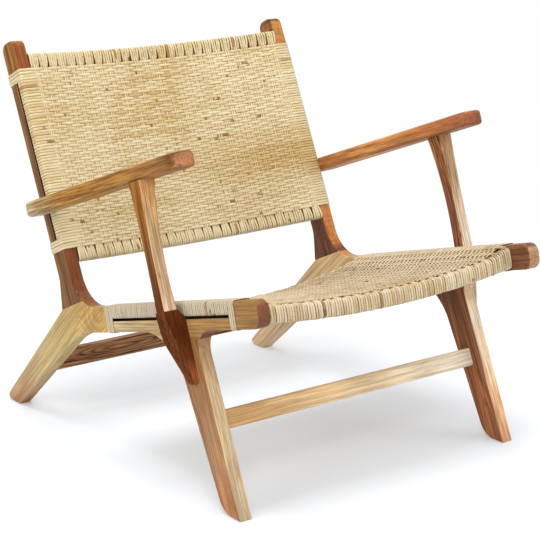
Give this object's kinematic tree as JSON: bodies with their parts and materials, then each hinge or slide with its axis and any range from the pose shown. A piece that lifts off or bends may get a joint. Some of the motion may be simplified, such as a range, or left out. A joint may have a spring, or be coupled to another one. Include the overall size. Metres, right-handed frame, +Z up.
{
  "type": "rattan armchair",
  "caption": "Low lounge armchair with an open reclining hardwood frame, sloping arms on flared posts, and a dished seat and hollowed back of woven rattan.",
  "frame": {"origin": "on the floor, under the middle of the chair's overall box", "axes": "+Z up; the chair faces -Y, so its back leans towards +Y; its width runs along X and it is symmetric about the YZ plane"},
  "size_m": [0.7402, 0.8414, 0.7281],
  "materials": {
    "frame_wood": "oiled hardwood, strongly figured, honey to dark red-brown from piece to piece",
    "inner_wood": "plain unfinished hardwood, hidden under the weave or inside the joints",
    "rattan": "natural rattan core strand, pale straw with odd honey strands, satin",
    "screw_steel": "zinc-plated countersunk screw"
  },
  "bodies": {
    "root": {"left_back_post": "frame_wood", "right_back_post": "frame_wood", "left_rear_leg": "frame_wood", "right_rear_leg": "frame_wood", "left_side_rail": "frame_wood", "right_side_rail": "frame_wood", "left_front_leg": "frame_wood", "right_front_leg": "frame_wood", "left_arm_post": "frame_wood", "right_arm_post": "frame_wood", "left_arm_post_foot": "frame_wood", "right_arm_post_foot": "frame_wood", "left_armrest": "frame_wood", "right_armrest": "frame_wood", "front_stretcher": "frame_wood", "rear_stretcher": "frame_wood", "back_top_rail": "inner_wood", "back_bottom_rail": "inner_wood", "seat_front_rail": "inner_wood", "seat_rear_rail": "inner_wood", "knee_dowels": "inner_wood", "rail_dowels": "inner_wood", "leg_dowels": "inner_wood", "arm_dowels": "inner_wood", "foot_dowels": "inner_wood", "cross_rail_dowels": "inner_wood", "arm_screws": "screw_steel", "back_weave": "rattan", "seat_weave": "rattan", "left_back_binding": "rattan", "right_back_binding": "rattan", "left_seat_binding": "rattan", "right_seat_binding": "rattan"}
  },
  "joints": []
}
